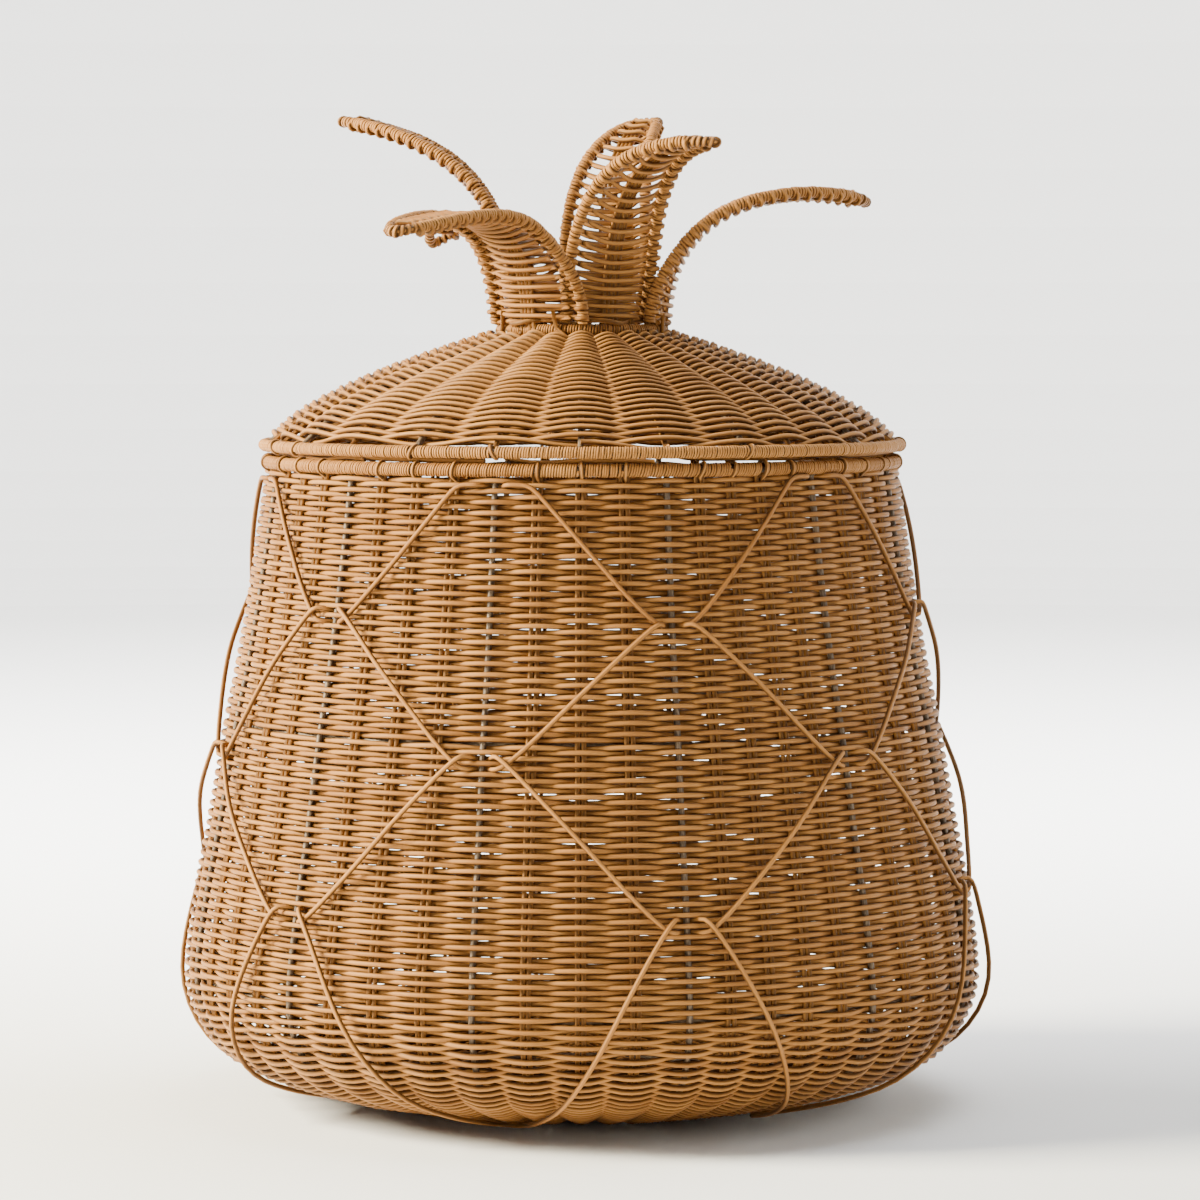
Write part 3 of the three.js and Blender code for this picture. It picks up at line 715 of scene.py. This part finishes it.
def rows_behind(degrees):
    """The arc lengths at which the weaver passes behind the upright at an azimuth."""
    stake = np.argmin(np.abs((stake_degrees - degrees + 180) % 360 - 180))
    at_crossings = row_lengths[::crossing_samples]
    crossings = np.arange(stake, len(at_crossings), len(stakes))
    return at_crossings[crossings[crossings % 2 == 1]]


def crossing_lengths():
    """Where the arch of the lower cane and the bend of the upper one lie at each crossing, by the
    crossing's row and azimuth: between two of the weaver's rows, or at one of them."""
    lengths = {}
    for row in range(len(trellis_rows) + 1):
        for k in range(arches):
            degrees = (first_arch + row % 2 * arch_step // 2 + k * arch_step) % 360
            pull = pulled.get((row, degrees), pull_random.normal(0, pull_spread)) * millimetre
            if row == len(trellis_rows):
                target = body.find(trellis_foot_radius, 0, 0, low_hoop_length)
            else:
                target = body.find(trellis_rows[row], 1, low_hoop_length) + pull
            behind = rows_behind(degrees)
            nearest = behind[np.argmin(np.abs(behind - target))]
            below = np.argmin(np.abs((behind[:-1] + behind[1:]) / 2 - target))
            if row in (0, len(trellis_rows)):
                lengths[row, degrees] = (nearest, nearest)
            elif (row, degrees) == close_crossing:
                lengths[row, degrees] = (nearest - close_step, nearest + close_step)
            else:
                lengths[row, degrees] = (behind[below + 1], behind[below])
    return lengths


def trellis_cane(number, lengths):
    """One closed zigzag, with its points closer together near its arches and bends."""
    samples = 44
    half_turns = np.arange(2 * arches * samples) / samples
    x = half_turns - crowding * np.sin(2 * np.pi * half_turns)
    leg = np.floor(half_turns).astype(int)
    first = first_arch + (number + 1) % 2 * arch_step // 2
    azimuths = [(first + k * arch_step // 2) % 360 for k in range(2 * arches + 1)]
    ends = np.array([lengths[number - 1 + k % 2, at][k % 2] for k, at in enumerate(azimuths)])
    # Arches are raised and bends lowered a little where two canes cross, but nothing crosses the
    # topmost arches
    raised = 0.0 if number == 1 else apart
    top = np.where(leg % 2, ends[leg + 1], ends[leg]) + raised
    bottom = np.where(leg % 2, ends[leg], ends[leg + 1]) - apart

    # The zigzag on the wall: drop goes from 0 at an arch to 1 at a bend
    wave = np.arccos(math.cos(arch_corner) * np.cos(np.pi * x))
    drop = (wave - arch_corner) / (math.pi - 2 * arch_corner)
    arch = tucked_at_rim if number == 1 else tucked
    length = top + (bottom - top) * drop + arch * (1 - drop) - tucked * drop
    softness = 0.5 * millimetre + 0.08 * arch
    length = np.minimum(top, top - above_zero(top - length, softness))
    length = np.maximum(bottom, bottom + above_zero(length - bottom, bend_softness))

    # How far it stands off the weave: outside on its legs, and behind the upright at each crossing
    degrees = first + x * arch_step / 2
    aside = np.abs(x - np.round(x)) * math.radians(arch_step / 2) * body.at(length)[:, 0]
    behind = 1 - smoothstep(aside, behind_near, behind_far)
    hook = 2 * trellis_radius * (1 - smoothstep(drop, hook_start, hook_end))
    bow = trellis_bow[number - 1] * np.sin(np.pi * drop) ** 2
    if number == 1:
        hook = 0
    if number == len(trellis_rows):
        # The lowest bends stay outside, and the lowest cane bows out most on the right
        behind = np.where(drop < 0.5, behind, 0)
        bow = bow * ((1 + np.sin(np.radians(degrees))) / 2)
    outside = trellis_radius * 0.8 + hook * smoothstep(aside, hook_near, hook_far) + bow
    inside = -(stake_depth + rod_radius + trellis_radius * 0.9)
    length = length + behind * np.where(drop < 0.5, -raised, apart)
    stand = outside * (1 - behind) + inside * behind

    bundle = Bundle(70 + number)
    degrees = degrees + 0.5 * smooth_noise(bundle.random, len(x), samples // 2) * np.sin(np.pi * x) ** 2
    place = body.at(length, -stand)
    place[:, 1] = np.maximum(place[:, 1], trellis_radius * 1.1)
    facing = around(body.outwards(length), degrees)
    bundle.strand(around(place, degrees), facing, trellis_radius, closed=True)
    bundle.make(f"trellis_{number}", laid_cane, "basket", "laid_cane", f"trellis_cane_{number}")


crossings = crossing_lengths()
for number in (1, 2, 3, 4):
    trellis_cane(number, crossings)


# The lid's dome: the same weave over 29 ribs, of which 12 are steel wires and the rest are canes. It
# is woven from the rim up to the crown ring.
lid_bay = 30
double_bays = (1, 2, 3, 7, 9)
lid_ribs = []
for k in range(360 // lid_bay):
    lid_ribs.append((k * lid_bay, True))
    canes = 2 if k in double_bays else 1
    lid_ribs += [((k + (i + 1) / (canes + 1)) * lid_bay, False) for i in range(canes)]
rib_degrees = np.array([degrees for degrees, _ in lid_ribs])
rib_reach = np.full(len(lid_ribs), steel_reach)
dome = Outline(meridian("lid_weave", 0))
dome_start, dome_end = weaver_radius + row_pitch, dome.end - 2.1 * millimetre
lid_rim_radius, lid_rim_z = ring_size("lid_rim_hoop")
crown_radius, crown_z = ring_size("crown_ring")
dome_bundle = Bundle(80)
dome_spiral = spiral(
    dome, rib_degrees, rib_reach, dome_start, dome_end, 81, last_degrees=170, samples=6
)
lay_weaver(*dome_spiral, [], [dome_bundle], samples=6)
dome_bundle.make("dome_weave", woven_cane, "lid", "woven_cane", "lid_weave")

rib_bundle = Bundle(82)
rib_foot = [lid_rim_radius, lid_rim_z + rim_rod_radius]
rib_top = [crown_radius + rim_rod_radius, crown_z]
rib_place = np.vstack([rib_foot, dome.at(np.linspace(0, dome.end, 36), stake_depth), rib_top])
for degrees, is_steel in lid_ribs:
    rib_line = around(rib_place, degrees)
    if is_steel:
        number = round(degrees / lid_bay) + 1
        rib = Bundle(84 + number)
        rib.strand(rib_line, sideways(degrees, 1), rod_radius, sides=10)
        rib.make(f"steel_rib_{number:02d}", steel, "lid", "steel_wire", f"lid_rib_{number:02d}")
    else:
        rib_bundle.strand(rib_line, sideways(degrees, 1), rod_radius * 0.95)
steel_hoop("steel_lid_rim_hoop", "lid_rim_hoop", "lid", rim_rod_radius)
steel_hoop("steel_crown_ring", "crown_ring", "lid", rim_rod_radius, steps=120)


# The lid's rim and the crown ring are bound like the basket's rim. Some of the rib ends are folded
# slantwise over the lid's rim, and the binding makes room for them.
lid_wrap_radius, lid_lean = 3.0 * millimetre, 0.3 * millimetre
slant_share, slant_tilt = 0.45, 1.6 * millimetre
slant_start, slant_end = -100, 120
lid_binding = Bundle(100)
ways = rim_ways(lid_rim_radius, lid_rim_z)
around_lid = 2 * math.pi * lid_rim_radius
slants = []
for degrees in rib_degrees:
    if lid_binding.random.random() < slant_share:
        way = lid_binding.random.choice((1, 1, -1))
        slants.append((math.radians(degrees) * lid_rim_radius, way))
for (at, way), (after, _) in zip(slants, slants[1:] + [(slants[0][0] + around_lid, 0)]):
    lean = lid_lean * lid_binding.random.uniform(-1, 1.4)
    wind(lid_binding, ways, at + fold_half, after - fold_half, lid_wrap_radius, lean=lean)
    away = rim_rod_radius + fold_radius * 1.05
    fold_over(lid_binding, ways, at, way * slant_tilt, slant_start, slant_end, away)

# The ends of the cane ribs are turned down inside the rim and run on along it for some degrees, lower
# on the left. Every other one lies further in.
inside_radius, inside_z = lid_rim_radius - 4.8 * millimetre, rim_z + 4.1 * millimetre
inside_step, left_side = 2.1 * millimetre, (250, 350)
run = np.linspace(0, 28, 30)
turned = np.exp(-run / 1.5)
for k, (degrees, is_steel) in enumerate(lid_ribs):
    if is_steel:
        continue
    nest = k % 2 * inside_step
    height = inside_z + (0 if left_side[0] < degrees < left_side[1] else 1.1) * millimetre
    radius = inside_radius - nest + turned * (2.5 * millimetre + nest)
    place = np.stack([radius, height + turned * 6 * millimetre], -1)
    place[:, 1] += 0.3 * millimetre * smooth_noise(lid_binding.random, len(run), 8)
    rib_bundle.strand(around(place, degrees + run), sideways(degrees, 1), 1.25 * millimetre)
rib_bundle.make("cane_ribs", laid_cane, "lid", "laid_cane")
lid_binding.make("lid_rim_binding", binding_cane, "lid", "binding_cane", "lid_rim_wrapping")
crown_binding = Bundle(101)
wind(crown_binding, rim_ways(crown_radius, crown_z), 0, 2 * math.pi * crown_radius, lid_wrap_radius)
crown_binding.make("crown_binding", binding_cane, "lid", "binding_cane", "crown_wrapping")

# One more cane winds in and out round the feet of the leaves, just above the ring
foot_radius, foot_swing = 1.2 * millimetre, 4.6 * millimetre
foot_height, foot_sway = 3.9 * millimetre, 0.9 * millimetre
foot_degrees = np.arange(0, 360, 3)
foot_wave = np.radians(foot_degrees * 6)
foot_place = np.stack([
    crown_radius + foot_swing * np.sin(foot_wave),
    crown_z + foot_height + foot_sway * np.sin(foot_wave * 1.5),
], -1)
foot_cane = Bundle(102)
foot_cane.strand(around(foot_place, foot_degrees), (0, 0, 1), foot_radius, closed=True)
foot_cane.make("crown_cane", woven_cane, "lid", "woven_cane", "crown_wrapping")


# The leaves: each is a wire bent into a loop and welded to the crown ring, with four canes along its
# middle. One weaver goes to and fro over and under these canes and round the wire on both sides, and
# a finer cane is wound over the wire and the weaver's loops.
leaf_seat, leaf_half_width = 3.3 * millimetre, 22 * millimetre
settled, leaf_cup, tip_power = 0.32, 0.15, 0.62
# Each leaf was bent by hand: its azimuth, the turn of its tip, half its width at the ring, the rise of
# its upright part, the reach and height of its tip, and the run and slope of the part that curls
# over, in degrees and millimetres.
leaf_bends = {
    "a": (-88, -22, 18, 62, 130, 102, 70, 10),
    "b": (-39, 6, 28, 70, 160, 43, 45, -3),
    "e": (23, 16, 21, 21, 104, 87, 70, -1),
    "f": (87, 22, 26, 56, 153, 61, 61, -8),
    "d": (159, -5, 18, 18, 85, 103, 70, 11),
    "c": (-149, 3, 25, 30, 140, 41, 52, -40),
}


class Leaf:
    """The curved face of a leaf, by the share of its length, and by distances across and above it."""

    def __init__(self, bend, seat):
        self.azimuth, self.turn = bend[:2]
        self.base, rise, reach, height, run = (value * millimetre for value in bend[2:7])
        self.seat = seat
        slope = math.radians(bend[7])
        start = crown_z + lid_wrap_radius + 0.3 * millimetre
        tip = np.array([reach, start + height])
        knee = tip - run * np.array([math.cos(slope), math.sin(slope)])
        self.corners = np.array([[seat, start], [seat, start + rise], knee, tip])
        self.shares = np.linspace(0, 1, 200)
        self.lengths = lengths_along(self.spine(self.shares))
        self.length = self.lengths[-1]

    def spine(self, along):
        """The middle of the leaf in radius and height."""
        t = np.asarray(along)[..., None]
        a, b, c, d = self.corners
        return (1 - t) ** 3 * a + 3 * t * (1 - t) ** 2 * b + 3 * t**2 * (1 - t) * c + t**3 * d

    def share_at(self, length):
        """The share of the leaf's length at a distance from its foot."""
        return np.interp(length, self.lengths, self.shares)

    def half(self, along):
        """Half the width of the leaf. It tapers to a blunt tip."""
        along = np.clip(along, 0, 1)
        foot = self.base + (leaf_half_width - self.base) * eased(along / settled)
        share = np.clip((along - settled) / (1 - settled), 0, 1)
        return np.where(along < settled, foot, leaf_half_width * (1 - share**2) ** tip_power)

    def point(self, along, across, above=0.0):
        """A point in space. The foot of the leaf follows the ring, and the rest is cupped."""
        along, across = np.broadcast_arrays(np.asarray(along, float), np.asarray(across, float))
        t = along[..., None]
        a, b, c, d = self.corners
        tangent = unit((1 - t) ** 2 * (b - a) + 2 * t * (1 - t) * (c - b) + t**2 * (d - c))
        on_ring = self.seat - np.sqrt(self.seat**2 - np.minimum(np.abs(across), self.seat) ** 2)
        on_leaf = leaf_cup * across**2 / np.maximum(self.half(along), 6 * millimetre)
        lift = above + on_ring + (on_leaf - on_ring) * smoothstep(along, 0, 0.3)
        place = self.spine(along) + np.stack([-tangent[..., 1], tangent[..., 0]], -1) * lift[..., None]
        azimuth = np.radians(self.azimuth + self.turn * along**2)
        aside = np.stack([np.cos(azimuth), np.sin(azimuth), np.zeros_like(azimuth)], -1)
        return around(place, np.degrees(azimuth)) + aside * across[..., None]


class LeafWire:
    """The wire of a leaf, up one side, round the tip and down the other. line is its middle, out and
    up are the directions away from the leaf and above it, and shares are the shares of the leaf's
    length along it."""

    def __init__(self, leaf, steps=90, power=1.35, rounded=60, rounding=12):
        along = 1 - (1 - np.linspace(0, 1, steps)) ** power
        self.shares = np.concatenate([along, along[-2::-1]])
        side = np.concatenate([-np.ones(steps - 1), [0], np.ones(steps - 1)])
        edge = side * leaf.half(self.shares)
        self.line = leaf.point(self.shares, edge)
        above = unit(leaf.point(self.shares, edge, millimetre) - self.line)
        # The outer part is smoothed a little at a time, which rounds the tip
        here, before, after = (slice(rounded + k, k - rounded) for k in (0, -1, 1))
        for _ in range(rounding):
            self.line[here] = (self.line[before] + self.line[after]) / 4 + self.line[here] / 2
        tangent = unit(np.gradient(self.line, axis=0))
        out = unit(np.cross(above, tangent))
        from_middle = self.line - leaf.point(self.shares * 0.98, 0 * side)
        outwards = np.sign(np.sum(out * from_middle, 1))
        self.out = out * np.where(outwards == 0, 1, outwards)[:, None]
        up = np.cross(tangent, self.out)
        self.up = unit(up * np.sign(np.sum(up * above, 1))[:, None])
        self.lengths = lengths_along(self.line)
        self.tip = len(self.line) // 2
        self.ways = [self.way(table) for table in (self.line, self.out, self.up)]

    def way(self, table):
        return lambda length: look_up(table, self.lengths, length)

    def length_at(self, share, side):
        """The length along the wire at a share of the leaf's length, on one of its sides."""
        if side > 0:
            return np.interp(-share, -self.shares[self.tip:], self.lengths[self.tip:])
        return np.interp(share, self.shares[:self.tip + 1], self.lengths[:self.tip + 1])


leaf_binding = cane_material("leaf_binding", (0.415, 0.192, 0.056, 1), (0.237, 0.095, 0.025, 1), 0.85)
leaf_weaver = 1.22 * millimetre
leaf_turn, tip_turn = 1.75 * millimetre, 3.0 * millimetre
leaf_wrap_radius = 2.95 * millimetre
# The weaver's loops lie flush in the binding above the wire, and stand out as knuckles below it
flush_radius, knuckle_radius = 1.6 * millimetre, 3.6 * millimetre
# The loops' turn round the wire to either side, and half their run along it
loop_turn, loop_run = 115, 0.6 * millimetre
first_row, last_row, row_sag = 1.5 * millimetre, 7 * millimetre, 5 * millimetre
foot_pitch, pitch_gain, gain_end = 2.35 * millimetre, 0.7 * millimetre, 90 * millimetre
midrib_cane, midrib_lift, midrib_end = 1.08 * millimetre, 1.4 * millimetre, 9 * millimetre


def leaf_rows(leaf):
    """Where the weaver's rows lie, a little closer at the foot, up to where the wire's sides meet."""
    rows, place = [], first_row
    while place < leaf.length - last_row:
        rows.append(leaf.share_at(place))
        place += foot_pitch + pitch_gain * min(1, place / gain_end)
    return rows


def weave_leaf(bundle, leaf, wire):
    """Lays the weaver to and fro, and returns the lengths along the wire of its loops."""
    rows = leaf_rows(leaf)
    share = np.linspace(-1, 1, 15)[1:-1]
    slope = np.sign(share) * np.abs(share / share[-1]) ** 2.5 * 0.5
    middling = 1 - share**2
    parts, faces, loops = [], [], []
    for k, (along, after) in enumerate(zip(rows, rows[1:])):
        side = -1 if k % 2 else 1
        # Rows go over the midrib and start below the wire, or the other way about, by turns
        reach = leaf.half(along) - rim_rod_radius
        across = share * side * reach
        on_rib = np.clip((1.35 * reach - np.abs(across)) / (1.35 * reach - 4 * midrib_cane), 0, 1)
        high = midrib_lift + side * (midrib_cane + leaf_weaver)
        low = -knuckle_radius * 0.85 if side > 0 else flush_radius * 0.9
        lift = low + (high - low) * eased(on_rib)
        # Two rows meet at each loop, and the middle of a row sags
        sag = row_sag / leaf.length * reach / leaf_half_width * smoothstep(along, 0.03, 0.4)
        shift = (slope + bundle.random.normal(0, 0.05) * middling) * (after - along)
        row = along + shift - sag * middling
        parts.append(leaf.point(row, across, lift))
        faces.append(leaf.point(row, across, lift + millimetre) - parts[-1])
        # Round the wire, from one face of the leaf to the other
        turn = np.radians(np.linspace(-side * loop_turn, side * loop_turn, 9))
        at = wire.length_at((along + after) / 2, side)
        loops.append(at)
        at = at - side * np.linspace(-loop_run, loop_run, 9)
        centre, out, up = (way(at) for way in wire.ways)
        away = out * np.cos(turn)[:, None] + up * np.sin(turn)[:, None]
        proud = smoothstep(-np.sin(turn), -0.2, 0.7)[:, None]
        parts.append(centre + away * (flush_radius + (knuckle_radius - flush_radius) * proud))
        faces.append(away)
    bundle.strand(np.concatenate(parts), unit(np.concatenate(faces)), leaf_weaver)
    return loops


def bind_leaf(bundle, wire, loops):
    """Winds the binding over the wire and the weaver's loops, with broad turns at the tip."""
    stops = np.array([0.0, *sorted(loops), wire.lengths[-1]])
    tip = wire.lengths[wire.tip]
    before, after = stops[stops < tip][-1], stops[stops > tip][0]
    wind(bundle, wire.ways, 0.0, before, leaf_wrap_radius, leaf_turn)
    wind(bundle, wire.ways, before, after, leaf_wrap_radius, tip_turn, opened=0.06)
    wind(bundle, wire.ways, after, wire.lengths[-1], leaf_wrap_radius, leaf_turn)
    bundle.strand(wire.line, wire.out, rim_rod_radius)


def lay_midrib(bundle, leaf):
    """Four canes along the middle of a leaf, and two short ones at its foot."""
    facing = sideways(leaf.azimuth, 1)
    reach = np.linspace(0, leaf.share_at(leaf.length - midrib_end), 60)
    room = np.maximum(leaf.half(reach) - rim_rod_radius, millimetre)
    squeeze = np.minimum(1, room / (5 * millimetre))
    # The canes run down past the crown ring into the dome, and draw together there
    down = np.array([[11], [7], [3]]) * millimetre
    inwards = np.array([[0.9], [0.6], [0.25]])
    for k in range(4):
        across = (k - 1.5) * 2 * midrib_cane * 1.03
        rib = leaf.point(reach, across * squeeze, midrib_lift)
        foot = rib[0] - np.array([0, 0, 1]) * down + facing * (across * inwards)
        bundle.strand(np.vstack([foot, rib]), facing, midrib_cane)
    # Two short canes tie the foot of the leaf into the dome
    for share in (-0.62, 0.55):
        lean = np.array([0.0, 0.05, 0.25]) * bundle.random.uniform(-1, 1)
        tie = leaf.point(np.array([0.03, 0.0, 0.0]), (share + lean) * leaf.half(0.0), -0.6 * millimetre)
        tie[1:, 2] -= np.array([2, 8]) * millimetre
        bundle.strand(tie, facing, midrib_cane)


for i, (name, bend) in enumerate(leaf_bends.items()):
    # By turns the leaves sit inside and outside the ring
    leaf = Leaf(bend, crown_radius + (leaf_seat if i % 2 else -leaf_seat))
    wire = LeafWire(leaf)
    web, binding, midrib = (Bundle(200 + 10 * i + k) for k in range(3))
    loops = weave_leaf(web, leaf, wire)
    bind_leaf(binding, wire, loops)
    lay_midrib(midrib, leaf)
    web.make(f"leaf_{name}_weave", woven_cane, "lid", "woven_cane", f"leaf_{name}_web")
    binding.make(f"leaf_{name}_binding", leaf_binding, "lid", "binding_cane", f"leaf_{name}_frame")
    midrib.make(f"leaf_{name}_midrib_canes", laid_cane, "lid", "laid_cane", f"leaf_{name}_midrib")


bpy.context.view_layer.update()
